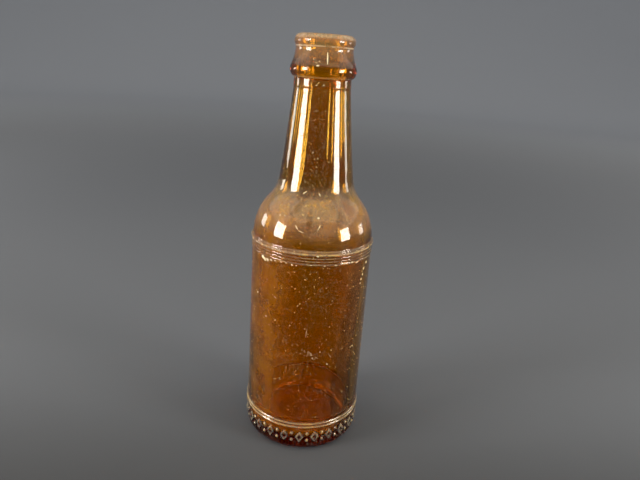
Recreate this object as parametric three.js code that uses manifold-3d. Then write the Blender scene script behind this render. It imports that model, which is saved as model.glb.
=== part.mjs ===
// An empty long-neck beer bottle of amber glass with a crown finish.
// Millimetres, +Z up. The origin is the centre of the ring that the bottle stands on.
import * as THREE from "three";
import { mergeVertices } from "three/addons/utils/BufferGeometryUtils.js";
import Module from "manifold-3d";

// Driving dimensions
const HEIGHT = 194.0;
const BODY_R = 28.7;
const WALL = 3.3;
const AROUND = 48; // sides of the turned glass

// Base: a flat ring to stand on, a dome pushed up inside it and a rounded heel
const PUSH_UP = 3.0;
const PUSH_UP_R = 19.5;
const HEEL_ROUND = 5.0;
const FLOOR = 5.6; // height of the inside at the edge of its floor
const FLOOR_RISE = 1.8; // how far the middle of that floor follows the push-up
const FLOOR_ROUND = 5.0;

// Raised rings: height of the middle, half the width, and how far each stands out
const HEEL_RING = { z: 15.0, half: 1.2, out: 0.5 };
const PANEL_RING = { z: 98.9, half: 0.5, out: 0.3 };
const SHOULDER_RING = { z: 103.4, half: 1.0, out: 0.4 };
const BAND_OUT = 0.15; // the strip between the last two, under the upper one

// Shoulder: a convex arc off the body, then a concave one into the neck
const SHOULDER = { r: 28.4, z: 104.6, arc: 26.3 };
const SHOULDER_TURN = 41.3; // degrees from upright where the two arcs meet
const THROAT_ARC = 19.5;
const THROAT_LEAN = 8.0; // degrees from upright where the neck takes over

// Neck: one shallow curve up to the finish
const NECK_TOP = { r: 12.75, z: 172.0 };
const NECK_BEND_Z = 147.3;
const PARTING = { z: 172.5, half: 0.3, out: 0.12 }; // seam of the mould's neck ring

// Crown finish: a collar, a sloping waist and the bead that a crown cap grips
const COLLAR = { r: 14.7, z: 179.4, round: 2.6, drop: 3.4 };
const SKIRT = { r: 14.55, z: 180.8 };
const SKIRT_BEND = { r: 13.4, z: 183.2 };
const WAIST = { r: 12.5, z: 187.7 };
const BEAD = { r: 13.3, z: 190.9, round: 1.3, drop: 1.5 };
const RIM_R = 10.9;

// Inside of the neck
const BORE_R = 9.0;
const BORE_END = { r: 9.2, z: 184.0 };
const BORE_NECK = { r: 10.2, z: 172.0 };
const BORE_BEND = { r: 12.3, z: 147.3 };

// Relief round the heel: upright lozenges with a pair of studs between neighbours
const RELIEF_UNITS = 24;
const RELIEF_Z = 8.7;
const RELIEF_OUT = 0.6;
const RELIEF_SINK = 0.6; // how deep each block reaches into the wall
const RELIEF_TOP = 0.6; // size of a block's flat top as a share of its foot
const LOZENGE = { wide: 4.4, tall: 6.8, sides: 4 };
const STUD = { wide: 2.0, tall: 2.0, sides: 6 };
const STUD_STEP = 1.9; // height of a stud's middle above or below the row

const point = ({ r, z }) => new THREE.Vector2(r, z);

// Points of a round or elliptic arc, its angles in degrees from +r towards +z
function arc(r, z, radiusR, radiusZ, from, to, steps) {
  return Array.from({ length: steps + 1 }, (_, i) => {
    const a = THREE.MathUtils.degToRad(from + ((to - from) * i) / steps);
    return point({ r: r + radiusR * Math.cos(a), z: z + radiusZ * Math.sin(a) });
  });
}

// A quadratic curve onward from a point that is already in the profile
function bend(from, by, to, steps) {
  const curve = new THREE.QuadraticBezierCurve(from, by, to);
  return curve.getPoints(steps).slice(1);
}

function ring({ z, half, out }, wallR, steps) {
  return arc(wallR, z, out, half, -90, 90, steps);
}

function base() {
  const dome = (PUSH_UP_R ** 2 + PUSH_UP ** 2) / (2 * PUSH_UP);
  const edge = THREE.MathUtils.radToDeg(Math.acos(PUSH_UP_R / dome));
  return [
    point({ r: 0, z: PUSH_UP }),
    ...arc(0, PUSH_UP - dome, dome, dome, 90, edge, 3).slice(1),
    ...arc(BODY_R - HEEL_ROUND, HEEL_ROUND, HEEL_ROUND, HEEL_ROUND, -90, 0, 4),
  ];
}

function body() {
  return [
    ...ring(HEEL_RING, BODY_R, 4),
    point({ r: BODY_R, z: PANEL_RING.z - PANEL_RING.half }),
    point({ r: BODY_R + PANEL_RING.out, z: PANEL_RING.z }),
    point({ r: BODY_R + BAND_OUT, z: PANEL_RING.z + PANEL_RING.half }),
    ...ring(SHOULDER_RING, BODY_R + BAND_OUT, 4),
  ];
}

// Both arcs from the body up to the neck, at a depth under the outer surface
function shoulder(depth) {
  const turn = THREE.MathUtils.degToRad(SHOULDER_TURN);
  const middle = SHOULDER.r - SHOULDER.arc;
  const convex = SHOULDER.arc - depth;
  const concave = THROAT_ARC + depth;
  const throatR = middle + (SHOULDER.arc + THROAT_ARC) * Math.cos(turn);
  const throatZ = SHOULDER.z + (SHOULDER.arc + THROAT_ARC) * Math.sin(turn);
  const [from, to] = [180 + SHOULDER_TURN, 180 + THROAT_LEAN];
  return [
    ...arc(middle, SHOULDER.z, convex, convex, 0, SHOULDER_TURN, 5),
    ...arc(throatR, throatZ, concave, concave, from, to, 4).slice(1),
  ];
}

function finish() {
  return [
    ...ring(PARTING, NECK_TOP.r, 2),
    ...arc(COLLAR.r - COLLAR.round, COLLAR.z, COLLAR.round, COLLAR.drop, -75, 0, 4),
    point(SKIRT),
    ...bend(point(SKIRT), point(SKIRT_BEND), point(WAIST), 3),
    ...arc(BEAD.r - BEAD.round, BEAD.z, BEAD.round, BEAD.drop, -50, 0, 2),
    ...arc(RIM_R, BEAD.z, BEAD.r - RIM_R, HEIGHT - BEAD.z, 0, 90, 4).slice(1),
  ];
}

function outside() {
  const shoulders = shoulder(0);
  const start = shoulders.at(-1);
  const lean = Math.tan(THREE.MathUtils.degToRad(THROAT_LEAN));
  const by = { r: start.x - lean * (NECK_BEND_Z - start.y), z: NECK_BEND_Z };
  const neck = bend(start, point(by), point(NECK_TOP), 5);
  return [...base(), ...body(), ...shoulders, ...neck.slice(0, -1), ...finish()];
}

function inside() {
  const rim = RIM_R - BORE_R;
  const [throat, ...shoulders] = shoulder(WALL).reverse();
  const cornerR = BODY_R - WALL - FLOOR_ROUND;
  const cornerZ = FLOOR + FLOOR_ROUND;
  return [
    ...arc(RIM_R, HEIGHT - rim, rim, rim, 90, 180, 3).slice(1),
    point(BORE_END),
    point(BORE_NECK),
    ...bend(point(BORE_NECK), point(BORE_BEND), throat, 4),
    ...shoulders,
    ...arc(cornerR, cornerZ, FLOOR_ROUND, FLOOR_ROUND, 0, -90, 4),
    ...arc(0, FLOOR, cornerR, FLOOR_RISE, 0, 90, 3).slice(1),
  ];
}

function turnedGlass() {
  const profile = [...outside(), ...inside()];
  return new THREE.LatheGeometry(profile, AROUND).rotateX(Math.PI / 2);
}

// A block with sloping sides that stands out of the heel, at an angle round it
function raised({ wide, tall, sides }, z, angle) {
  const depth = RELIEF_SINK + RELIEF_OUT;
  const block = new THREE.CylinderGeometry(RELIEF_TOP / 2, 1 / 2, depth, sides);
  block.scale(wide, 1, tall);
  return block.translate(0, BODY_R + RELIEF_OUT - depth / 2, z).rotateZ(angle);
}

function relief() {
  const blocks = [];
  const pitch = (2 * Math.PI) / RELIEF_UNITS;
  for (let i = 0; i < RELIEF_UNITS; i++) {
    blocks.push(raised(LOZENGE, RELIEF_Z, i * pitch));
    for (const step of [-STUD_STEP, STUD_STEP]) {
      blocks.push(raised(STUD, RELIEF_Z + step, (i + 0.5) * pitch));
    }
  }
  return blocks;
}

const wasm = await Module();
wasm.setup();

function solid(geometry) {
  geometry.deleteAttribute("normal");
  geometry.deleteAttribute("uv");
  const merged = mergeVertices(geometry, 1e-4);
  return new wasm.Manifold(
    new wasm.Mesh({
      numProp: 3,
      vertProperties: merged.attributes.position.array,
      triVerts: new Uint32Array(merged.index.array),
    }),
  );
}

function geometryOf(manifold) {
  const mesh = manifold.getMesh();
  const geometry = new THREE.BufferGeometry();
  geometry.setAttribute("position", new THREE.BufferAttribute(mesh.vertProperties, 3));
  geometry.setIndex(new THREE.BufferAttribute(mesh.triVerts, 1));
  geometry.computeVertexNormals();
  return geometry;
}

function glassBottle() {
  const glass = relief().reduce((all, block) => all.add(solid(block)), solid(turnedGlass()));
  const amber = new THREE.MeshStandardMaterial({
    color: new THREE.Color(0.42, 0.19, 0.03),
    roughness: 0.08,
    metalness: 0,
    transparent: true,
    opacity: 0.6,
  });
  const mesh = new THREE.Mesh(geometryOf(glass), amber);
  mesh.name = "bottle";
  return mesh;
}

const bottle = new THREE.Group();
bottle.add(glassBottle());

export default bottle;
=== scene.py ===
# The looks of an empty long-neck beer bottle of amber glass with a crown finish.
import math

import bpy
import numpy as np
from mathutils import Matrix, Vector


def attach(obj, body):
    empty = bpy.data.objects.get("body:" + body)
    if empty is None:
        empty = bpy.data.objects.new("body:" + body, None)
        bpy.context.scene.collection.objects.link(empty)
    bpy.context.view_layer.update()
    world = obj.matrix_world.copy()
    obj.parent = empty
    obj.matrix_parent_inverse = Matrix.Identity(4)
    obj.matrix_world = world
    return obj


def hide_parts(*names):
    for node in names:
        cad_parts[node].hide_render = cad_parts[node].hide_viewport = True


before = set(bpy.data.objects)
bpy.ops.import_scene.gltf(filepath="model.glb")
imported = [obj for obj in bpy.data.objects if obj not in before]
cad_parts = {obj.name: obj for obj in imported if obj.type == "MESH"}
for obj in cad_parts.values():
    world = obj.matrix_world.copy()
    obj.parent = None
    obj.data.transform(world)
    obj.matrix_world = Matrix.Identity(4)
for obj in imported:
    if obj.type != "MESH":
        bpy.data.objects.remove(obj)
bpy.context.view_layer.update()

# Lengths below are millimetres and angles are degrees, unless a name says otherwise.
# An azimuth is measured round the bottle from its front, -Y, and grows towards +X.
MM = 0.001

# The turned glass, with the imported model's dimensions
HEIGHT = 194.0
BODY_R = 28.7
WALL = 3.3
PUSH_UP = 3.0
PUSH_UP_R = 19.5
PUSH_UP_EDGE = 1.2  # how far the rounding of its edge reaches to either side
HEEL_ROUND = 5.0
FLOOR = 5.6
FLOOR_RISE = 1.8
FLOOR_ROUND = 5.0
SHOULDER = {"r": 28.4, "z": 104.6, "arc": 26.3}
SHOULDER_TURN = 41.3
THROAT_ARC = 19.5
THROAT_LEAN = 8.0
NECK_TOP = (12.75, 172.0)
NECK_BEND_Z = 147.3
COLLAR = {"r": 14.7, "z": 179.4, "round": 2.6, "drop": 3.4}
SKIRT = (14.55, 180.8)
SKIRT_BEND = (13.4, 183.2)
WAIST = (12.5, 187.7)
BEAD = {"r": 13.3, "z": 190.9, "round": 1.3, "drop": 1.5}
RIM_R = 10.9
BORE_R = 9.0
BORE_END = (9.2, 184.0)
BORE_WIDENS = (9.2, 178.0)
BORE_NECK = (10.2, 172.0)
BORE_BEND = (12.3, 147.3)

# Raised rings on the outside: height of the middle, half the width, how far each stands out.
# The first two go round the heel, and the rest are the shoulder band.
RIDGES = [
    (14.3, 0.8, 0.5),
    (16.1, 0.8, 0.5),
    (98.9, 0.6, 0.28),
    (100.4, 0.45, 0.12),
    (101.8, 0.45, 0.12),
    (103.4, 0.95, 0.4),
]
PARTING = (172.5, 0.35, 0.12)

# The pairs below are the limits of a fade: none at the first and all at the second.

# The strip under the rings of the shoulder band
STRIP_OUT = 0.15
STRIP_FOOT = (98.9, 99.2)
STRIP_TOP = (104.3, 103.4)

# Relief round the heel: upright lozenges with a pair of studs between neighbours.
# The limits are depths, which run from 0 on an outline to 1 in its middle.
RELIEF_UNITS = 24
RELIEF_Z = 8.7
RELIEF_OUT = 0.6
LOZENGE = {"wide": 4.4, "tall": 6.8}
LOZENGE_SLOPE = (0.0, 0.3)
DISH_SLOPE = (0.38, 0.68)
DISH_SUNK = 0.7  # as a share of a lozenge's height
STUD = 2.0
STUD_STEP = 1.9
STUD_SLOPE = (0.0, 0.6)

# Where the relief is rubbed: a lozenge's crest from outside and from inside, and a stud
CREST_OUTSIDE = (0.1, 0.25)
CREST_INSIDE = (0.5, 0.35)
STUD_WORN = (0.2, 0.5)

# Seam of the mould's two halves
SEAM_AZIMUTH = -14.0
SEAM_FOOT = (118.0, 126.0)
SEAM_TOP = (171.0, 170.0)
SEAM_HALF = 0.3
SEAM_OUT = 0.07

# Unevenness of blown glass: share, waves round the bottle, twist for each millimetre and start
WAVES = [
    (0.5, 2, 0.021, 1.0),
    (0.3, 3, -0.047, 2.1),
    (0.25, 5, 0.083, 0.7),
    (0.2, 7, -0.132, 1.7),
]
OUTER_WAVES = {"size": 0.03, "seed": 4.2}
INNER_WAVES = {"size": 0.16, "seed": 1.3}
WAVES_OFF_AXIS = (4.0, 8.0)
WAVES_OFF_BASE = (3.0, 9.0)
OUTER_WAVES_TOP = (170.0, 150.0)
INNER_WAVES_TOP = (186.0, 156.0)

# Fine upright ribs inside the neck: how many go round the bottle and where they start
RIBS = [(13, 0.4), (19, 2.2), (29, 0.9), (41, 3.1)]
RIB_DEPTH = 0.7  # divided by their number
RIBS_FOOT = (124.0, 144.0)
RIBS_TOP = (190.0, 186.0)

BOX_R = 29.29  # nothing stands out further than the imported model

AROUND = 432  # vertices in one row of the glass, 18 to each unit of the relief
ROW_GAP = 0.2  # between rows where one form gives way to the next
OUTER, INNER = 0, 1

# Heights between which the body has rows, and the step from row to row
BODY_ZONES = [
    (HEEL_ROUND, 13.2, 0.42),
    (13.2, 17.4, 0.22),
    (17.4, 98.0, 3.2),
    (98.0, 104.6, 0.2),
]


def arc(r, z, radius_r, radius_z, start, end, steps):
    angles = np.radians(np.linspace(start, end, steps + 1))
    return np.stack([r + radius_r * np.cos(angles), z + radius_z * np.sin(angles)], 1)


def bend(start, by, end, steps):
    """A quadratic curve onward from a point that is already in the profile."""
    t = np.linspace(0, 1, steps + 1)[1:, None]
    start, by, end = (np.array(p, float) for p in (start, by, end))
    return (1 - t) ** 2 * start + 2 * t * (1 - t) * by + t**2 * end


def base_rows():
    dome = (PUSH_UP_R**2 + PUSH_UP**2) / (2 * PUSH_UP)
    edge = math.degrees(math.acos((PUSH_UP_R - PUSH_UP_EDGE) / dome))
    inner = arc(0, PUSH_UP - dome, dome, dome, 90, edge, 9)
    lip = bend(inner[-1], (PUSH_UP_R, 0), (PUSH_UP_R + PUSH_UP_EDGE, 0), 3)
    heel = arc(BODY_R - HEEL_ROUND, HEEL_ROUND, HEEL_ROUND, HEEL_ROUND, -90, 0, 14)
    return np.concatenate([inner, lip, heel])


def heights(start, end, step):
    return np.linspace(start, end, max(2, round((end - start) / step) + 1))[1:]


def body_rows():
    z = np.concatenate([heights(*zone) for zone in BODY_ZONES])
    return np.stack([np.full_like(z, BODY_R), z], 1)


def shoulder_rows(depth, convex_steps, concave_steps):
    """Both arcs from the body up to the neck, at a depth under the outer surface."""
    turn = math.radians(SHOULDER_TURN)
    middle = SHOULDER["r"] - SHOULDER["arc"]
    reach = SHOULDER["arc"] + THROAT_ARC
    throat_r = middle + reach * math.cos(turn)
    throat_z = SHOULDER["z"] + reach * math.sin(turn)
    convex = SHOULDER["arc"] - depth
    concave = THROAT_ARC + depth
    lower = arc(middle, SHOULDER["z"], convex, convex, 0, SHOULDER_TURN, convex_steps)
    ends = (180 + SHOULDER_TURN, 180 + THROAT_LEAN)
    upper = arc(throat_r, throat_z, concave, concave, *ends, concave_steps)
    return np.concatenate([lower, upper[1:]])


def finish_rows():
    """The parting line, the collar, the waist and the bead up to the rim."""
    z = np.linspace(PARTING[0] - PARTING[1], PARTING[0] + PARTING[1], 5)
    z = np.concatenate([z, np.linspace(z[-1] + ROW_GAP, COLLAR["z"] - COLLAR["drop"], 6)])
    parting = np.stack([np.full_like(z, NECK_TOP[0]), z], 1)
    middle = COLLAR["r"] - COLLAR["round"]
    collar = arc(middle, COLLAR["z"], COLLAR["round"], COLLAR["drop"], -75, 0, 12)
    skirt = bend(SKIRT, SKIRT_BEND, WAIST, 10)
    middle = BEAD["r"] - BEAD["round"]
    bead = arc(middle, BEAD["z"], BEAD["round"], BEAD["drop"], -50, 0, 6)
    top = HEIGHT - BEAD["z"]
    lip = arc(RIM_R, BEAD["z"], BEAD["r"] - RIM_R, top, 0, 90, 12)[1:]
    return np.concatenate([parting, collar, [SKIRT], skirt, bead, lip])


def outside_rows():
    shoulders = shoulder_rows(0, 20, 14)
    start = shoulders[-1]
    lean = math.tan(math.radians(THROAT_LEAN))
    by = (start[0] - lean * (NECK_BEND_Z - start[1]), NECK_BEND_Z)
    neck = bend(start, by, NECK_TOP, 14)
    neck[-1, 1] -= PARTING[1] + ROW_GAP
    return np.concatenate([base_rows(), body_rows(), shoulders, neck, finish_rows()])


def inside_rows():
    rim = RIM_R - BORE_R
    lip = arc(RIM_R, HEIGHT - rim, rim, rim, 90, 180, 7)[1:]
    shoulders = shoulder_rows(WALL, 14, 8)[::-1]
    bore = np.concatenate([[BORE_END], bend(BORE_END, BORE_WIDENS, BORE_NECK, 5)])
    neck = bend(BORE_NECK, BORE_BEND, shoulders[0], 10)
    corner_r = BODY_R - WALL - FLOOR_ROUND
    corner_z = FLOOR + FLOOR_ROUND
    z = np.linspace(SHOULDER["z"], corner_z, 16)[1:-1]
    wall = np.stack([np.full_like(z, BODY_R - WALL), z], 1)
    corner = arc(corner_r, corner_z, FLOOR_ROUND, FLOOR_ROUND, 0, -90, 10)
    ground = arc(0, FLOOR, corner_r, FLOOR_RISE, 0, 90, 10)[1:]
    return np.concatenate([lip, bore, neck, shoulders[1:], wall, corner, ground])


def fade(value, none, full):
    """0 at the first limit, 1 at the second, and a smooth way between."""
    t = np.clip((value - none) / (full - none), 0, 1)
    return t * t * (3 - 2 * t)


def ridge(z, middle, half, out):
    t = np.clip((z - middle) / half, -1, 1)
    return out * np.cos(t * math.pi / 2) ** 2


def rings(z):
    """How far the raised rings stand out at a height."""
    strip = STRIP_OUT * fade(z, *STRIP_FOOT) * fade(z, *STRIP_TOP)
    return strip + sum(ridge(z, *one) for one in (*RIDGES, PARTING))


def relief_depths(angle, z):
    """How deep a place lies inside its lozenge and inside its stud."""
    pitch = 360 / RELIEF_UNITS
    mm_per_degree = BODY_R * math.pi / 180
    up = np.abs(z - RELIEF_Z)
    aside = np.abs((angle + pitch / 2) % pitch - pitch / 2) * mm_per_degree
    lozenge = 1 - aside / (LOZENGE["wide"] / 2) - up / (LOZENGE["tall"] / 2)
    aside = (angle % pitch - pitch / 2) * mm_per_degree
    stud = 1 - np.hypot(aside, up - STUD_STEP) / (STUD / 2)
    return lozenge, stud


def relief(angle, z):
    """How far the dished lozenges and the studs round the heel stand out."""
    lozenge, stud = relief_depths(angle, z)
    dish = DISH_SUNK * fade(lozenge, *DISH_SLOPE)
    return RELIEF_OUT * (fade(lozenge, *LOZENGE_SLOPE) - dish + fade(stud, *STUD_SLOPE))


def relief_worn(angle, z):
    """1 along the crests of the lozenges and on the studs, where the glass is rubbed."""
    lozenge, stud = relief_depths(angle, z)
    crest = fade(lozenge, *CREST_OUTSIDE) * fade(lozenge, *CREST_INSIDE)
    return np.maximum(crest, fade(stud, *STUD_WORN))


def waves(angle, z, size, seed):
    """Slow unevenness of the surface, the same each run."""
    a = np.radians(angle)
    parts = (s * np.sin(count * a + twist * z + start * seed) for s, count, twist, start in WAVES)
    return size * sum(parts)


def seam(angle, r, z):
    """The fine line that the two halves of the mould leave up the neck, on both sides."""
    away = np.abs((angle - SEAM_AZIMUTH + 90) % 180 - 90) * np.radians(r)
    line = SEAM_OUT * np.exp(-((away / SEAM_HALF) ** 2))
    return line * fade(z, *SEAM_FOOT) * fade(z, *SEAM_TOP)


def ribs(angle):
    a = np.radians(angle)
    return RIB_DEPTH * sum(np.sin(count * a + start) / count for count, start in RIBS)


def surface_shift(wall, angle, r, z):
    """How far a place on either wall lies outside the plain turned profile."""
    off_middle = fade(r, *WAVES_OFF_AXIS) * fade(z, *WAVES_OFF_BASE)
    if wall == INNER:
        uneven = off_middle * fade(z, *INNER_WAVES_TOP) * waves(angle, z, **INNER_WAVES)
        return uneven + fade(z, *RIBS_FOOT) * fade(z, *RIBS_TOP) * ribs(angle)
    uneven = off_middle * fade(z, *OUTER_WAVES_TOP) * waves(angle, z, **OUTER_WAVES)
    shift = uneven + rings(z) + relief(angle, z) + seam(angle, r, z)
    return np.minimum(shift, BOX_R - r)


def outer_radius(angle, z):
    """Radius of the glass's outer surface at a height above the heel's rounding."""
    profile = outside_rows()
    lowest = np.argmin(profile[:, 1])
    profile = profile[lowest + 2 :]  # past the flat ring, so that the heights only grow
    r = np.interp(z, profile[:, 1], profile[:, 0])
    return r + surface_shift(OUTER, angle, r, z)


def glass_faces(row_count):
    """Quads between neighbouring rows, and a fan to the vertex on the axis at either end."""
    here = list(range(AROUND))
    after = here[1:] + here[:1]
    first, end = 1, 1 + row_count * AROUND
    faces = [(0, first + b, first + a) for a, b in zip(here, after)]
    for low in range(first, end - AROUND, AROUND):
        high = low + AROUND
        faces.extend((low + a, low + b, high + b, high + a) for a, b in zip(here, after))
    last = end - AROUND
    faces.extend((last + a, last + b, end) for a, b in zip(here, after))
    return faces


def glass_mesh():
    """Both walls as one closed mesh, which tells its material where the inner wall is."""
    outside, inside = outside_rows(), inside_rows()
    rows = [(OUTER, r, z) for r, z in outside[1:]] + [(INNER, r, z) for r, z in inside[:-1]]
    angles = np.arange(AROUND) * 360 / AROUND
    a = np.radians(angles)
    points = [np.array([[0, 0, outside[0][1]]])]
    walls, worn = [np.zeros(1)], [np.zeros(1)]
    for wall, r, z in rows:
        radius = r + surface_shift(wall, angles, r, z)
        ring = [radius * np.sin(a), -radius * np.cos(a), np.full(AROUND, z)]
        points.append(np.stack(ring, 1))
        walls.append(np.full(AROUND, float(wall)))
        worn.append(relief_worn(angles, z) * (wall == OUTER))
    points.append(np.array([[0, 0, inside[-1][1]]]))
    walls.append(np.ones(1))
    worn.append(np.zeros(1))
    points = np.concatenate(points) * MM
    mesh = bpy.data.meshes.new("glass")
    mesh.from_pydata(points.tolist(), [], glass_faces(len(rows)))
    mesh.shade_smooth()
    for name, values in (("inner_wall", walls), ("worn", worn)):
        attribute = mesh.attributes.new(name, "FLOAT", "POINT")
        attribute.data.foreach_set("value", np.concatenate(values).astype(np.float32))
    return mesh


def add_object(name, data, material=None):
    piece = bpy.data.objects.new(name, data)
    bpy.context.scene.collection.objects.link(piece)
    if material:
        data.materials.append(material)
    return piece


class Nodes:
    """Short names for building a node material."""

    def __init__(self, name):
        self.material = bpy.data.materials.new(name)
        self.material.use_nodes = True
        self.tree = self.material.node_tree
        self.tree.nodes.clear()
        self.output = self.add("ShaderNodeOutputMaterial")

    def add(self, kind, **settings):
        node = self.tree.nodes.new(kind)
        for key, value in settings.items():
            setattr(node, key, value)
        return node

    def link(self, source, target):
        self.tree.links.new(source, target)

    def position(self):
        return self.add("ShaderNodeTexCoord").outputs["Object"]

    def noise(self, scale, detail=3.0, rough=0.55, vector=None):
        node = self.add("ShaderNodeTexNoise")
        node.inputs["Scale"].default_value = scale
        node.inputs["Detail"].default_value = detail
        node.inputs["Roughness"].default_value = rough
        self.link(vector or self.position(), node.inputs["Vector"])
        return node.outputs["Fac"]

    def remap(self, source, low, high, to_low=0.0, to_high=1.0):
        node = self.add("ShaderNodeMapRange", clamp=True, interpolation_type="SMOOTHSTEP")
        sockets = ("From Min", "From Max", "To Min", "To Max")
        for socket, value in zip(sockets, (low, high, to_low, to_high)):
            node.inputs[socket].default_value = value
        self.link(source, node.inputs["Value"])
        return node.outputs["Result"]

    def math(self, operation, *values):
        node = self.add("ShaderNodeMath", operation=operation)
        for socket, value in zip(node.inputs, values):
            if isinstance(value, (int, float)):
                socket.default_value = value
            else:
                self.link(value, socket)
        return node.outputs["Value"]

    def mix(self, factor, one, other):
        node = self.add("ShaderNodeMix", data_type="RGBA")
        self.link(factor, node.inputs["Factor"])
        for socket, colour in ((node.inputs["A"], one), (node.inputs["B"], other)):
            if isinstance(colour, tuple):
                socket.default_value = (*colour, 1)
            else:
                self.link(colour, socket)
        return node.outputs["Result"]

    def bump(self, height, distance):
        node = self.add("ShaderNodeBump")
        node.inputs["Strength"].default_value = 1.0
        node.inputs["Distance"].default_value = distance
        self.link(height, node.inputs["Height"])
        return node.outputs["Normal"]

    def shader(self, **values):
        node = self.add("ShaderNodeBsdfPrincipled")
        for key, value in values.items():
            socket = node.inputs[key.replace("_", " ")]
            if isinstance(value, (int, float, tuple)):
                socket.default_value = value
            else:
                self.link(value, socket)
        self.link(node.outputs["BSDF"], self.output.inputs["Surface"])
        return self.material


# Light that the glass takes away in one millimetre, for red, green and blue
AMBER = (0.047, 0.135, 0.48)
GLASS_IOR = 1.52

# Wear: dull crests of the rings, and dirt in the grooves of the finish
WEAR = (0.6, 0.46, 0.14)
WEAR_FADE = (0.1, 0.6)  # as shares of half a ring's width
GROOVES = [(176.4, 0.6), (188.9, 0.8)]  # height of the middle and half the width

# A pair of heights below is where a layer fades in or out, the lower one first.

# Dust on the shoulder and the lip, where the glass faces upward
DUST = (0.9, 0.57, 0.17)
DUST_SHOULDER = (128.0, 138.0)
DUST_LIP = (190.5, 192.5)
DUST_FACES = (0.12, 0.55)  # the upward share of the surface's direction
WIPED_OFF = 0.75
# Places where it is wiped off: azimuth, height, half the width, half the height and lean
WIPED = [
    (-19.0, 121.8, 5.0, 5.0, 1.7),
    (-4.0, 118.5, 3.0, 4.0, 0.0),
    (27.0, 121.0, 6.0, 5.0, -0.6),
    (44.0, 123.0, 9.0, 5.0, 0.0),
]
GRIT = (0.8, 0.52, 0.12)

# Brown stain inside, thin on the shoulder, and painted shade in both lower corners: a dark tint
# that stands in for the dark reflections there
STAIN = (1.0, 0.44, 0.06)
STAIN_TOP = (172.0, 182.0)
STAIN_THIN = (116.0, 18.0)  # the height where it is thin, and how far that reaches
STAIN_LEAST = 0.15
CORNER_SHADE = (0.14, 0.06, 0.03)
CORNER_SHADE_LEFT = (36.0, 0.08)  # their top, and how far in they reach for each millimetre below it
CORNER_SHADE_RIGHT = (95.0, 0.085)
CORNER_SHADE_RAGGED = 1.2
CORNER_SHADE_FADE = (BODY_R - WALL - 3, BODY_R - WALL + 1)

# Dried film inside: how far aside it starts and is fullest, and how full that is
FILM = (0.95, 0.68, 0.06)
FILM_LEFT = (-1.0, 18.0, 1.0)
FILM_RIGHT = (9.0, 24.0, 0.45)
FILM_LEAST = 0.14
FILM_TOP = (108.0, 122.0)
FILM_ABOVE = 0.15  # what is left of it higher up
FILM_BAND = (114.0, 11.0)  # the old drink line at the shoulder: its height and how far it fades
FILM_BORE = (179.0, 184.0)
FILM_SETTLED = 20.0  # how high it reaches up the foot of the wall
FILM_NECK = (122.0, 134.0, 0.13)

# A broken ring dried round the floor: its radius, and how far from that it is full and fades out
RESIDUE_R = 22.6
RESIDUE_FADE = (0.4, 1.1)
RESIDUE_TOP = (FLOOR + 2, FLOOR + 3)

# Haze round the mouth
HAZE = (0.92, 0.76, 0.5)
HAZE_FOOT = (180.0, 187.0)

# What each layer does to the glass, from the lowest layer up:
# how much it clouds it, how much it dulls it, how much it tints it and with which colour
LAYERS = {
    "wear": (0.42, 0.3, 1.0, WEAR),
    "dust": (0.2, 0.12, 1.0, DUST),
    "grit": (0.25, 0.0, 1.0, GRIT),
    "stain": (0.0, 0.0, 1.0, STAIN),
    "film": (0.42, 0.1, 1.0, FILM),
    # painted shade: a dark tint in both lower corners
    "corner_shade": (0.0, 0.0, 0.85, CORNER_SHADE),
    "residue": (0.8, 0.0, 1.0, GRIT),
    "haze": (0.1, 0.1, 1.0, HAZE),
}
GLOSS = 0.012  # roughness of the clean glass
SMUDGE = 0.02
FOOT = (13.0, 23.0)  # the inside is dull below the first and clear above the second
FOOT_DULL = 0.35
RIPPLE = 0.006  # height of the fine waves on the surface


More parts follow.
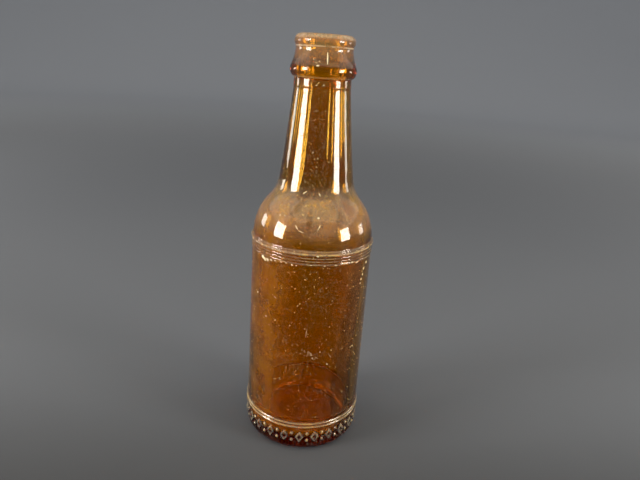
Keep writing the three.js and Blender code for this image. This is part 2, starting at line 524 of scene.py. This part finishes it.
class Glass(Nodes):
    """Where the glass is dirty or worn, and where shade is painted in its lower corners, as masks
    from 0 to 1. Lengths are in millimetres.
    """

    def __init__(self, name):
        super().__init__(name)
        scaled = self.add("ShaderNodeVectorMath", operation="SCALE")
        self.link(self.position(), scaled.inputs[0])
        scaled.inputs["Scale"].default_value = 1 / MM
        self.right, self.back, self.height = self.axes(scaled.outputs["Vector"])
        self.left = self.math("MULTIPLY", self.right, -1.0)
        front = self.math("MULTIPLY", self.back, -1.0)
        turn = self.math("ARCTAN2", self.right, front)
        self.azimuth = self.math("MULTIPLY", turn, 180 / math.pi)
        self.inner = self.attribute("inner_wall")
        self.outer = self.math("SUBTRACT", 1.0, self.inner)
        mottles = self.noise(90, detail=6.0, rough=0.68)
        self.mottles = self.remap(mottles, 0.35, 0.62, 0.6, 1.0)
        self.runs = self.remap(self.streaks(85, upright=0.2), 0.32, 0.66, 0.55, 1.0)

    def axes(self, vector):
        node = self.add("ShaderNodeSeparateXYZ")
        self.link(vector, node.inputs["Vector"])
        return node.outputs

    def attribute(self, name):
        return self.add("ShaderNodeAttribute", attribute_name=name).outputs["Fac"]

    def product(self, first, *others):
        for other in others:
            first = self.math("MULTIPLY", first, other)
        return first

    def largest(self, first, *others):
        for other in others:
            first = self.math("MAXIMUM", first, other)
        return first

    def away(self, source, middle):
        return self.math("ABSOLUTE", self.math("SUBTRACT", source, middle))

    def streaks(self, scale, upright):
        """Noise that is drawn out upright: the share is its scale that way."""
        stretch = self.add("ShaderNodeVectorMath", operation="MULTIPLY")
        self.link(self.position(), stretch.inputs[0])
        stretch.inputs[1].default_value = (1, 1, upright)
        return self.noise(scale, detail=5.0, rough=0.62, vector=stretch.outputs["Vector"])

    def patch(self, azimuth, height, half_wide, half_tall, lean):
        """A soft oval on the glass, which leans by so many degrees for each millimetre up."""
        up = self.math("SUBTRACT", self.height, height)
        round_it = self.math("SUBTRACT", self.azimuth, azimuth)
        round_it = self.math("SUBTRACT", round_it, self.math("MULTIPLY", up, lean))
        squares = []
        for away, half in ((round_it, half_wide), (up, half_tall)):
            squares.append(self.math("POWER", self.math("MULTIPLY", away, 1 / half), 2.0))
        return self.remap(self.math("ADD", *squares), 0.2, 1.6, 1.0, 0.0)

    def wear(self):
        """Rubbed crests of the relief and the rings, in patches."""
        crest = self.attribute("worn")
        for middle, half, *_ in (*RIDGES, *GROOVES):
            span = (half * share for share in WEAR_FADE)
            near = self.remap(self.away(self.height, middle), *span, 1.0, 0.0)
            crest = self.largest(crest, near)
        patches = self.remap(self.noise(260, detail=5.0, rough=0.65), 0.36, 0.6, 0.2, 1.0)
        return self.product(crest, patches, self.outer)

    def dust(self):
        normal = self.add("ShaderNodeNewGeometry").outputs["Normal"]
        upward = self.remap(self.axes(normal)[2], *DUST_FACES)
        shoulder = self.remap(self.height, *DUST_SHOULDER, 1.0, 0.0)
        lies = self.largest(shoulder, self.remap(self.height, *DUST_LIP))
        clouds = self.remap(self.noise(90, detail=6.0, rough=0.7), 0.36, 0.62, 0.4, 1.0)
        grains = self.remap(self.noise(1000, rough=0.6), 0.42, 0.6, 0.6, 1.3)
        wiped = self.largest(*(self.patch(*place) for place in WIPED))
        kept = self.math("SUBTRACT", 1.0, self.math("MULTIPLY", wiped, WIPED_OFF))
        return self.product(upward, lies, clouds, grains, kept, self.outer)

    def grit(self):
        """Fine grains that stick to the upright glass."""
        grains = self.remap(self.noise(1300, detail=2.0, rough=0.5), 0.58, 0.7)
        thick = self.remap(self.noise(40, rough=0.6), 0.35, 0.65, 0.1, 1.0)
        below = self.remap(self.height, *STAIN_TOP, 1.0, 0.0)
        return self.product(grains, thick, below, self.outer)

    def stain(self):
        below = self.remap(self.height, *STAIN_TOP, 1.0, 0.0)
        middle, reach = STAIN_THIN
        thin = self.remap(self.away(self.height, middle), 0.4 * reach, reach, STAIN_LEAST, 1.0)
        streaks = self.remap(self.streaks(60, upright=0.5), 0.35, 0.62, 0.72, 1.0)
        return self.product(below, thin, streaks, self.inner)

    def corner_shade(self):
        """Painted shade in both lower corners, with a ragged edge, broad at the foot and narrow
        at their top.
        """
        corners = []
        ragged = self.noise(60, detail=4.0, rough=0.6)
        ragged = self.remap(ragged, 0.3, 0.7, -CORNER_SHADE_RAGGED, CORNER_SHADE_RAGGED)
        for side, (top, lean) in ((self.left, CORNER_SHADE_LEFT), (self.right, CORNER_SHADE_RIGHT)):
            reach = self.math("MULTIPLY", self.math("SUBTRACT", top, self.height), lean)
            reach = self.math("ADD", self.math("ADD", side, reach), ragged)
            corners.append(self.remap(reach, *CORNER_SHADE_FADE))
        return self.product(self.largest(*corners), self.inner)

    def film(self, corner_shade):
        """The film down both sides, at the old drink line, on the foot and in the neck."""
        *span, most = FILM_LEFT
        left = self.remap(self.left, *span, FILM_LEAST, most)
        *span, most = FILM_RIGHT
        right = self.remap(self.right, *span, FILM_LEAST, most)
        below = self.remap(self.height, *FILM_TOP, 1.0, FILM_ABOVE)
        # the film stays off the painted shade in the lower corners
        clear_of_corner_shade = self.math("SUBTRACT", 1.0, corner_shade)
        aside = self.product(self.largest(left, right), self.runs, below, clear_of_corner_shade)
        middle, fade = FILM_BAND
        band = self.remap(self.away(self.height, middle), 0.0, fade, 1.0, 0.0)
        settled = self.remap(self.height, FLOOR, FILM_SETTLED, 1.0, 0.0)
        *span, most = FILM_NECK
        neck = self.product(self.remap(self.height, *span, 0.0, most), self.runs)
        bore = self.product(self.remap(self.height, *FILM_BORE), self.runs)
        spread = self.largest(aside, band, settled, neck, bore)
        return self.product(spread, self.mottles, self.inner)

    def residue(self):
        radius = self.math("POWER", self.right, 2.0)
        radius = self.math("ADD", radius, self.math("POWER", self.back, 2.0))
        radius = self.math("SQRT", radius)
        near = self.remap(self.away(radius, RESIDUE_R), *RESIDUE_FADE, 1.0, 0.0)
        low = self.remap(self.height, *RESIDUE_TOP, 1.0, 0.0)
        broken = self.remap(self.noise(120, rough=0.6), 0.44, 0.56)
        return self.product(near, low, broken, self.inner)

    def haze(self):
        return self.product(self.mottles, self.outer, self.remap(self.height, *HAZE_FOOT))

    def masks(self):
        """Where each of the layers lies, under its name."""
        # the first mask is painted shade in both lower corners
        corner_shade = self.corner_shade()
        return {
            "wear": self.wear(),
            "dust": self.dust(),
            "grit": self.grit(),
            "stain": self.stain(),
            "film": self.film(corner_shade),
            "corner_shade": corner_shade,
            "residue": self.residue(),
            "haze": self.haze(),
        }

    def plus(self, start, mask, share):
        return self.math("ADD", start, self.math("MULTIPLY", mask, share))

    def absorb(self, loss):
        absorption = self.add("ShaderNodeVolumeAbsorption")
        absorption.inputs["Density"].default_value = max(loss) / MM
        colour = [1 - one / max(loss) for one in loss]
        absorption.inputs["Color"].default_value = (*colour, 1)
        self.link(absorption.outputs["Volume"], self.output.inputs["Volume"])


def amber_glass():
    """Clear amber glass, dull on the raised rings, with dust outside and a dried film inside."""
    m = Glass("amber_glass")
    smudge = m.remap(m.noise(38, detail=5.0, rough=0.6), 0.42, 0.7)
    foot = m.product(m.remap(m.height, *FOOT, 1.0, 0.0), m.inner)
    rough = m.plus(m.plus(GLOSS, smudge, SMUDGE), foot, FOOT_DULL)
    clear = 1.0
    tint = (1.0, 1.0, 1.0)
    masks = m.masks()
    for name, (clouds, dulls, tints, colour) in LAYERS.items():
        clear = m.plus(clear, masks[name], -clouds)
        rough = m.plus(rough, masks[name], dulls)
        tint = m.mix(m.product(masks[name], tints), tint, colour)
    material = m.shader(
        Base_Color=tint,
        Roughness=rough,
        Transmission_Weight=clear,
        IOR=GLASS_IOR,
        Normal=m.bump(m.noise(260, detail=2.0, rough=0.5), RIPPLE * MM),
    )
    m.absorb(AMBER)
    return material


# Darkest and lightest grains of the dirt on the outside, also used for the pale marks that are
# painted highlights
LIME_AND_GLINT_SHADES = ((0.72, 0.6, 0.34), (0.9, 0.8, 0.54))
SPECK_SHADES = ((0.62, 0.44, 0.13), (0.86, 0.66, 0.28))
GRAIN_RISE = 0.03
MATT = 0.85


def chalky(name, shades):
    """Dry limescale and dust, and the pale marks painted as highlights: matt, and uneven in shade
    from grain to grain.
    """
    m = Nodes(name)
    grains = m.remap(m.noise(900, detail=4.0, rough=0.6), 0.35, 0.65)
    rise = m.bump(m.noise(2500, rough=0.6), GRAIN_RISE * MM)
    return m.shader(Base_Color=m.mix(grains, *shades), Roughness=MATT, Normal=rise)


# Flakes of lime on the outside, and one painted highlight: azimuth, height, length, width and
# turn from level
FLAKES_AND_GLINT = [
    (-49, 97.6, 2.6, 1.6, -55),
    (-46, 96.9, 2.0, 1.3, -70),
    (-42.5, 97.3, 1.8, 1.2, -30),
    (-38, 97.8, 1.5, 0.8, -20),
    (-33.5, 98.1, 1.0, 0.6, 0),
    (-27, 98.2, 1.2, 0.5, 0),
    (-22, 98.3, 0.8, 0.5, 10),
    (-16.5, 98.0, 1.1, 0.6, -30),
    (-12.5, 98.0, 0.8, 0.5, 0),
    (0.5, 98.8, 0.9, 0.5, 0),
    (12.5, 98.7, 1.2, 0.5, 0),
    (23, 98.6, 1.3, 0.5, 0),
    (31.5, 99.3, 1.2, 0.6, 0),
    (39.5, 99.1, 1.3, 0.7, 0),
    (46.5, 98.5, 1.7, 0.9, 20),
    (6, 103.1, 1.5, 1.1, 0),
    (63.5, 96.1, 1.5, 1.1, 80),
    (59, 93.8, 1.6, 1.0, 60),
    (58, 90.9, 1.3, 0.9, 90),
    (56, 88.7, 1.2, 0.8, 70),
    (55, 86.9, 0.9, 0.6, 40),
    (-56, 78.8, 1.4, 1.1, 20),
    (-41.7, 69.3, 0.9, 0.7, 0),
    (-30.6, 69.2, 0.7, 0.5, 40),
    (51.6, 54.7, 1.3, 0.7, -30),
    (48.5, 54.5, 0.6, 0.5, 0),
    (22.1, 49.0, 0.8, 0.6, 0),
    (14.2, 55.9, 0.6, 0.5, 0),
    # painted highlight: the next flake stands in for a small lamp's glint on the shoulder
    (5, 118.9, 1.0, 0.8, 0),
    (-36.5, 118.0, 0.6, 0.5, 0),
    (-31, 118.3, 0.5, 0.5, 0),
    (-8, 145.6, 0.9, 0.4, 60),
    (0.5, 143.2, 0.7, 0.4, -60),
    (-10, 159.1, 0.5, 0.3, 20),
    (-11, 173.4, 0.9, 0.5, 30),
    (3, 173.6, 0.6, 0.4, 0),
    (-18.5, 183.6, 0.9, 0.25, -65),
    (-13, 182.3, 0.8, 0.25, -30),
    (-7.5, 182.9, 0.6, 0.35, 60),
    (-9.5, 181.2, 1.4, 0.7, 0),
]

# Scratches, thin flecks and painted highlights, which are pale strokes where the lamps glint:
# azimuth and height of both ends, then the width
SCRATCHES_AND_GLINTS = [
    ((-34, 81.3), (-29.5, 80.0), 0.3),
    # painted highlights: the next five pale strokes stand in for glints of the lamps on the
    # shoulder
    ((-19, 127.1), (-9.7, 129.4), 0.5),
    ((4.7, 128.6), (8.2, 126.9), 0.5),
    ((-17.7, 115.9), (-13.6, 113.5), 0.4),
    ((-13.6, 113.5), (-7.2, 112.5), 0.35),
    ((7.8, 116.9), (3.9, 113.6), 0.5),
    # painted highlight: the next stroke stands in for a lamp's streak down the waist of the
    # finish
    ((6.6, 181.0), (5.8, 188.2), 0.7),
    ((22.2, 54.9), (26.3, 51.6), 0.16),
    ((0.6, 68.4), (-0.2, 62.6), 0.18),
]

# A smear of short strokes, which leans down to the right like each of them
SMEAR = (5.0, 54.2)  # the azimuth and height of its middle
SMEAR_SPREAD = (3.4, 0.9)
SMEAR_LEAN = 0.25  # millimetres down for each degree
SMEAR_STROKES = 34
STROKE_LENGTHS = (0.5, 1.7)
STROKE_WIDTHS = (0.08, 0.18)
STROKE_TURNS = (-45, -20)

# Dust specks, half of them in loose clumps
SPECKS = 3600
SPECK_SIZES = (0.26, 0.8)
SPECK_REACH = (17.5, 176.0)
CLUMPS = 160
CLUMP_SPREAD = (14, 7)  # degrees round and millimetres up

# Every mark is a low dome with a ragged outline
MARK_SIDES = 7
MARK_RAGGED = (0.55, 1.0)
MARK_SUNK = 0.02
MARK_SHOULDER = 0.6  # size of the row between the outline and the peak
MARK_PEAK = 1.2  # height of the peak over the height of that row

# How thick each kind is, and how much larger the flake marks are drawn than listed
FLAKE_AND_GLINT_THICK = 0.16
FLAKE_AND_GLINT_SWELL = 1.3
SCRATCH_AND_GLINT_THICK = 0.06
SMEAR_THICK = 0.03
SPECK_THICK = 0.03


def on_glass(azimuth, z, level, rise, lift):
    """Points beside places on the outside: shifts are along the surface, lift is outward."""
    z = z + rise
    azimuth = azimuth + np.degrees(level / outer_radius(azimuth, z))
    r = np.minimum(outer_radius(azimuth, z) + lift, BOX_R)
    a = np.radians(azimuth)
    return np.stack([r * np.sin(a), -r * np.cos(a), z], -1)


def marks(name, places, thick, material, seed, swell=1.0):
    """One mesh of marks on the glass: azimuth, height, length, width and turn of each."""
    random = np.random.default_rng(seed)
    azimuth, z, length, width, turn = np.array(places, float).T[:, :, None]
    length, width = swell * length, swell * width
    count = len(azimuth)
    around = np.radians(np.arange(MARK_SIDES) * 360 / MARK_SIDES)
    ragged = random.uniform(*MARK_RAGGED, (count, MARK_SIDES))
    along = ragged * np.cos(around) * length / 2
    across = ragged * np.sin(around) * width / 2
    turn = np.radians(turn)
    level = along * np.cos(turn) - across * np.sin(turn)
    rise = along * np.sin(turn) + across * np.cos(turn)
    rows = [
        on_glass(azimuth, z, level, rise, -MARK_SUNK),
        on_glass(azimuth, z, MARK_SHOULDER * level, MARK_SHOULDER * rise, thick),
        on_glass(azimuth, z, 0 * azimuth, 0 * azimuth, MARK_PEAK * thick),
    ]
    points = np.concatenate(rows, 1)
    dome = []
    for i in range(MARK_SIDES):
        j = (i + 1) % MARK_SIDES
        dome.append((i, j, j + MARK_SIDES, i + MARK_SIDES))
        dome.append((i + MARK_SIDES, j + MARK_SIDES, 2 * MARK_SIDES))
    starts = range(0, count * points.shape[1], points.shape[1])
    faces = [tuple(start + k for k in face) for start in starts for face in dome]
    mesh = bpy.data.meshes.new(name)
    mesh.from_pydata((points.reshape(-1, 3) * MM).tolist(), [], faces)
    mesh.shade_smooth()
    piece = add_object(name, mesh, material)
    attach(piece, "root")


def scratch_and_glint_places():
    """The scratch marks and the painted highlights among them: their ends turned into a middle, a
    length and a turn.
    """
    places = []
    for (azimuth, z), (end_azimuth, end_z), width in SCRATCHES_AND_GLINTS:
        middle = (azimuth + end_azimuth) / 2, (z + end_z) / 2
        radius = float(outer_radius(np.array(middle[0]), np.array(middle[1])))
        level = math.radians(end_azimuth - azimuth) * radius
        rise = end_z - z
        turn = math.degrees(math.atan2(rise, level))
        places.append((*middle, math.hypot(level, rise), width, turn))
    return places


def smear_places(seed):
    random = np.random.default_rng(seed)
    azimuth = SMEAR[0] + random.normal(0, SMEAR_SPREAD[0], SMEAR_STROKES)
    lean = SMEAR_LEAN * (azimuth - SMEAR[0])
    z = SMEAR[1] - lean + random.normal(0, SMEAR_SPREAD[1], SMEAR_STROKES)
    length = random.uniform(*STROKE_LENGTHS, SMEAR_STROKES)
    width = random.uniform(*STROKE_WIDTHS, SMEAR_STROKES)
    turn = random.uniform(*STROKE_TURNS, SMEAR_STROKES)
    return np.stack([azimuth, z, length, width, turn], 1)


def speck_places(seed):
    """Specks all over, fewer where the glass is narrow, and most of them small."""
    random = np.random.default_rng(seed)
    azimuth = random.uniform(-180, 180, SPECKS)
    z = random.uniform(*SPECK_REACH, SPECKS)
    clumped = SPECKS // 2
    clump = random.integers(0, CLUMPS, clumped)
    azimuth[:clumped] = random.uniform(-180, 180, CLUMPS)[clump]
    azimuth[:clumped] += random.normal(0, CLUMP_SPREAD[0], clumped)
    z[:clumped] = random.uniform(*SPECK_REACH, CLUMPS)[clump]
    z[:clumped] += random.normal(0, CLUMP_SPREAD[1], clumped)
    lowest, highest = SPECK_REACH
    z = highest - np.abs(highest - lowest - np.abs(z - lowest))  # folded back at both ends
    small, large = SPECK_SIZES
    length = small + (large - small) * random.uniform(0, 1, SPECKS) ** 4
    width = length * random.uniform(0.5, 1.0, SPECKS)
    turn = random.uniform(0, 180, SPECKS)
    places = np.stack([azimuth, z, length, width, turn], 1)
    kept = random.uniform(0, 1, SPECKS) < outer_radius(azimuth, z) / BODY_R
    return places[kept]


# The dirt on the outside, with pale marks among it that are painted highlights
def dirt_and_glints():
    lime_and_glints = chalky("lime_and_glints", LIME_AND_GLINT_SHADES)
    marks("flakes_and_glint", FLAKES_AND_GLINT, FLAKE_AND_GLINT_THICK, lime_and_glints, seed=11, swell=FLAKE_AND_GLINT_SWELL)
    marks("scratches_and_glints", scratch_and_glint_places(), SCRATCH_AND_GLINT_THICK, lime_and_glints, seed=12)
    marks("smear", smear_places(seed=15), SMEAR_THICK, lime_and_glints, seed=16)
    dust = chalky("dust", SPECK_SHADES)
    marks("specks", speck_places(seed=13), SPECK_THICK, dust, seed=14)


# The floor's colours, from its front to behind the bottle and up the wall. The darker front is
# painted shade for light falling off towards the camera, and the paler colour far away makes up
# for the weaker light there
FLOOR_FRONT_SHADE = (0.028, 0.03, 0.036)
FLOOR_BACK = (0.108, 0.12, 0.145)
WALL_SHADE = (0.46, 0.485, 0.53)
FLOOR_TURNS = (-0.12, 0.06)  # metres along Y between which the painted shade in front gives way to the paler floor
FLOOR_GRAIN = 0.006
WALL_TURNS = (0.4, 2.4)  # metres away between which it takes the wall's shade


def pale_floor():
    m = Nodes("pale_floor")
    axes = m.add("ShaderNodeSeparateXYZ")
    m.link(m.position(), axes.inputs["Vector"])
    grain = m.noise(60, detail=4.0, rough=0.6)
    grain = m.remap(grain, 0.3, 0.7, -FLOOR_GRAIN, FLOOR_GRAIN)
    along = m.math("ADD", m.remap(axes.outputs["Y"], *FLOOR_TURNS), grain)
    length = m.add("ShaderNodeVectorMath", operation="LENGTH")
    m.link(m.position(), length.inputs[0])
    away = m.remap(length.outputs["Value"], *WALL_TURNS)
    # painted shade: the floor is darker towards the front
    colour = m.mix(along, FLOOR_FRONT_SHADE, FLOOR_BACK)
    return m.shader(Base_Color=m.mix(away, colour, WALL_SHADE), Roughness=MATT)


# The studio: a round floor that curves up into a wall, in metres
STAGE_RINGS = [(0.3, 0), (1.0, 0)]
STAGE_FLAT_R = 2.0
STAGE_COVE = 1.2
STAGE_TOP = 2.4
STAGE_AROUND = 96


def studio():
    cove = arc(STAGE_FLAT_R, STAGE_COVE, STAGE_COVE, STAGE_COVE, -90, 0, 16)
    rows = np.concatenate([STAGE_RINGS, cove, [(STAGE_FLAT_R + STAGE_COVE, STAGE_TOP)]])
    angles = np.linspace(0, 2 * math.pi, STAGE_AROUND, endpoint=False)
    points = [(0, 0, 0)]
    for r, z in rows:
        points += [(r * math.cos(a), r * math.sin(a), z) for a in angles]
    here = list(range(STAGE_AROUND))
    after = here[1:] + here[:1]
    faces = [(0, 1 + i, 1 + j) for i, j in zip(here, after)]
    for row in range(len(rows) - 1):
        low = 1 + row * STAGE_AROUND
        high = low + STAGE_AROUND
        faces.extend((low + i, high + i, high + j, low + j) for i, j in zip(here, after))
    mesh = bpy.data.meshes.new("studio")
    mesh.from_pydata(points, [], faces)
    mesh.shade_smooth()
    add_object("studio", mesh, pale_floor())


def towards(azimuth, elevation):
    a, e = math.radians(azimuth), math.radians(elevation)
    return Vector((math.sin(a) * math.cos(e), -math.cos(a) * math.cos(e), math.sin(e)))


WARM_WHITE = (1.0, 0.95, 0.86)
WARM = (1.0, 0.8, 0.45)

# The lamps: name, azimuth, elevation, distance and size in metres, radiance and colour
LAMPS = [
    ("lamp_left_wide", -66, 9, 0.95, (0.36, 0.4), 22, WARM_WHITE),
    ("lamp_left_narrow", -112, 5, 0.95, (0.22, 0.22), 8, WARM_WHITE),
    ("lamp_right_wide", 65, 9, 0.95, (0.32, 0.34), 22, WARM_WHITE),
    ("lamp_right_narrow", 106, 4, 0.95, (0.2, 0.2), 7, WARM_WHITE),
    ("lamp_overhead", 8, 68, 1.1, (1.8, 1.1), 1.3, WARM),
    ("lamp_left_wall", -95, 38, 1.6, (2.0, 1.0), 0.9, WARM_WHITE),
    ("lamp_right_wall", 100, 38, 1.6, (2.0, 1.0), 0.9, WARM_WHITE),
]
LAMP_AIM = (0, 0, 120.0)
WORLD_COLOUR = (0.97, 0.98, 1.0, 1)
WORLD_STRENGTH = 0.35


def soft_lamp(name, azimuth, elevation, distance, size, radiance, colour):
    """A flat rectangular lamp that faces the middle of the bottle."""
    data = bpy.data.lights.new(name, "AREA")
    data.shape = "RECTANGLE"
    data.color = colour
    data.size, data.size_y = size
    data.energy = radiance * math.pi * size[0] * size[1]
    lamp = add_object(name, data)
    direction = towards(azimuth, elevation)
    lamp.location = Vector(LAMP_AIM) * MM + direction * distance
    lamp.rotation_euler = direction.to_track_quat("Z", "Y").to_euler()
    lamp.visible_camera = False


def soft_world():
    world = bpy.data.worlds.new("soft_world")
    world.use_nodes = True
    background = world.node_tree.nodes["Background"]
    background.inputs["Color"].default_value = WORLD_COLOUR
    background.inputs["Strength"].default_value = WORLD_STRENGTH
    bpy.context.scene.world = world


# The camera as the photograph was taken: its lens and sensor are in millimetres too
CAMERA_PLACE = (0.0, -243.6, 182.8)
CAMERA_PITCH = 18.546
CAMERA_YAW = 0.896
CAMERA_ROLL = 4.08
CAMERA_LENS = 29.8125
CAMERA_SENSOR = 36.0
CAMERA_CLIP = (0.01, 20.0)  # metres


def camera():
    data = bpy.data.cameras.new("camera")
    data.lens = CAMERA_LENS
    data.sensor_width = CAMERA_SENSOR
    data.clip_start, data.clip_end = CAMERA_CLIP
    piece = add_object("camera", data)
    pitch, yaw, roll = (math.radians(a) for a in (CAMERA_PITCH, CAMERA_YAW, CAMERA_ROLL))
    level = math.cos(pitch)
    ahead = Vector((math.sin(yaw) * level, math.cos(yaw) * level, -math.sin(pitch)))
    right = ahead.cross(Vector((0, 0, 1))).normalized()
    up = right.cross(ahead)
    across = right * math.cos(roll) + up * math.sin(roll)
    upward = up * math.cos(roll) - right * math.sin(roll)
    turn = Matrix((across, upward, -ahead)).transposed()
    piece.matrix_world = Matrix.LocRotScale(Vector(CAMERA_PLACE) * MM, turn, None)
    bpy.context.scene.camera = piece


BLACK_LEVEL = 0.006  # what is darker than this comes out black
BOUNCES = 24
GLOSSY_BOUNCES = 12
CLAMP_INDIRECT = 8.0


def render_look():
    """Plain colours with firm blacks, and enough bounces for light to pass both walls."""
    scene = bpy.context.scene
    scene.view_settings.view_transform = "Standard"
    scene.view_settings.use_curve_mapping = True
    curves = scene.view_settings.curve_mapping
    curves.black_level = (BLACK_LEVEL,) * 3
    curves.update()
    scene.cycles.max_bounces = BOUNCES
    scene.cycles.transmission_bounces = BOUNCES
    scene.cycles.glossy_bounces = GLOSSY_BOUNCES
    scene.cycles.sample_clamp_indirect = CLAMP_INDIRECT


def glass():
    piece = add_object("glass", glass_mesh(), amber_glass())
    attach(piece, "root")
    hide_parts("bottle")


camera()
render_look()
soft_world()
for lamp in LAMPS:
    soft_lamp(*lamp)
studio()
glass()
dirt_and_glints()
